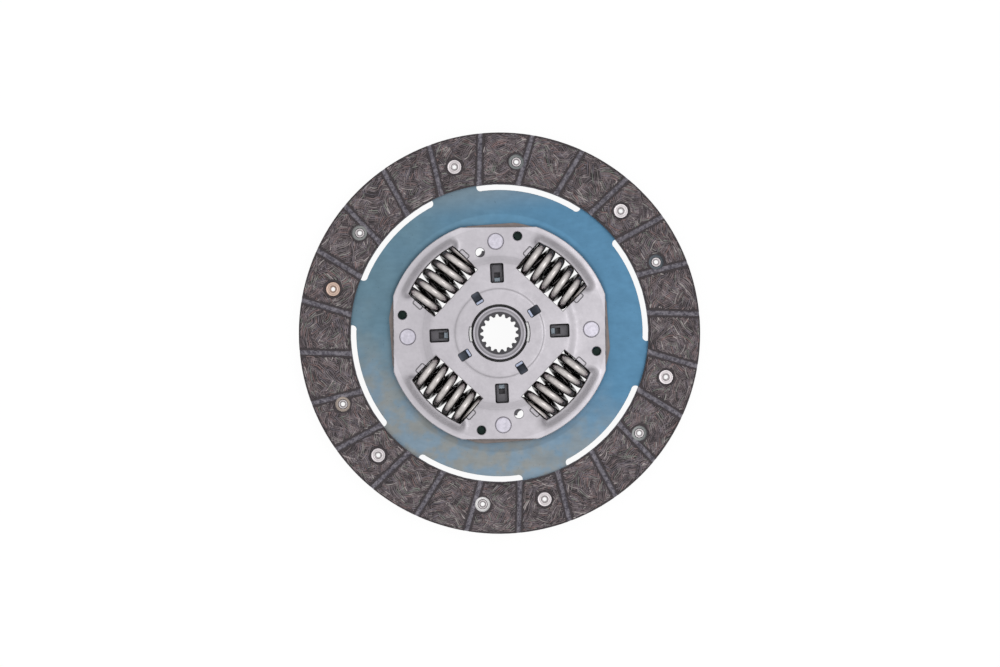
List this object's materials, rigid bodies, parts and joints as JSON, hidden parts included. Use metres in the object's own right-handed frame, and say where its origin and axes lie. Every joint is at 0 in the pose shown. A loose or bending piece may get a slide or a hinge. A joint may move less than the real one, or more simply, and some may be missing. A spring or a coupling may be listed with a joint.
{
  "type": "clutch disc",
  "caption": "Dry friction clutch disc: grooved annular facings on a waved steel disc, and a splined hub that turns against coil springs between two pressed plates.",
  "frame": {"origin": "on the disc's axis, midway between the two friction faces", "axes": "+Z along the axis towards the gearbox side, which the damper bulges to; +Y is up as pictured"},
  "size_m": [0.215, 0.215, 0.0228],
  "materials": {
    "hub_steel": "turned and phosphated, dark grey teeth",
    "flange_steel": "dark phosphate",
    "plate_steel": "satin, warm light grey",
    "blued_steel": "heat-blued spring steel with straw tints",
    "friction_lining": "resin-bonded woven yarn, matt, dark brown-grey",
    "rivet_steel": "copper-washed steel",
    "pin_steel": "smooth, pale",
    "spring_steel": "oil-hardened, dark, soft sheen",
    "washer_lining": "matt friction lining",
    "bright_steel": "bluish, smooth",
    "bush_plastic": "off-white moulded plastic",
    "ring_plastic": "blue-grey moulded plastic"
  },
  "bodies": {
    "disc": {"cover_plate": "plate_steel", "drive_plate": "plate_steel", "cushion_disc": "blued_steel", "facing_front": "friction_lining", "facing_rear": "friction_lining", "facing_rivets_front": "rivet_steel", "facing_rivets_rear": "rivet_steel", "stop_pin_1": "pin_steel", "stop_pin_2": "pin_steel", "stop_pin_3": "pin_steel", "stop_pin_4": "pin_steel", "friction_washer": "washer_lining", "support_ring": "bright_steel", "diaphragm_spring": "bright_steel", "centring_bush": "bush_plastic"},
    "hub": {"hub": "hub_steel", "hub_flange": "flange_steel", "rear_friction_ring": "ring_plastic"},
    "springs": {"damper_spring_1": "spring_steel", "damper_spring_2": "spring_steel", "damper_spring_3": "spring_steel", "damper_spring_4": "spring_steel", "inner_spring_1": "spring_steel", "inner_spring_2": "spring_steel", "inner_spring_3": "spring_steel", "inner_spring_4": "spring_steel"}
  },
  "joints": [
    {"name": "damper_twist", "type": "hinge", "parent": "disc", "child": "hub", "pos_m": [0, 0, 0], "axis": [0, 0, 1], "range_deg": [-7.5, 7.5], "stiffness_Nm_per_rad": 900},
    {"name": "spring_travel", "type": "hinge", "parent": "disc", "child": "springs", "pos_m": [0, 0, 0], "axis": [0, 0, 1], "range_deg": [-3.75, 3.75], "deforming": ["damper_spring_1", "damper_spring_2", "damper_spring_3", "damper_spring_4", "inner_spring_1", "inner_spring_2", "inner_spring_3", "inner_spring_4"]}
  ],
  "couplings": [
    {"joint": "spring_travel", "follows": "damper_twist", "ratio": 0.5}
  ]
}
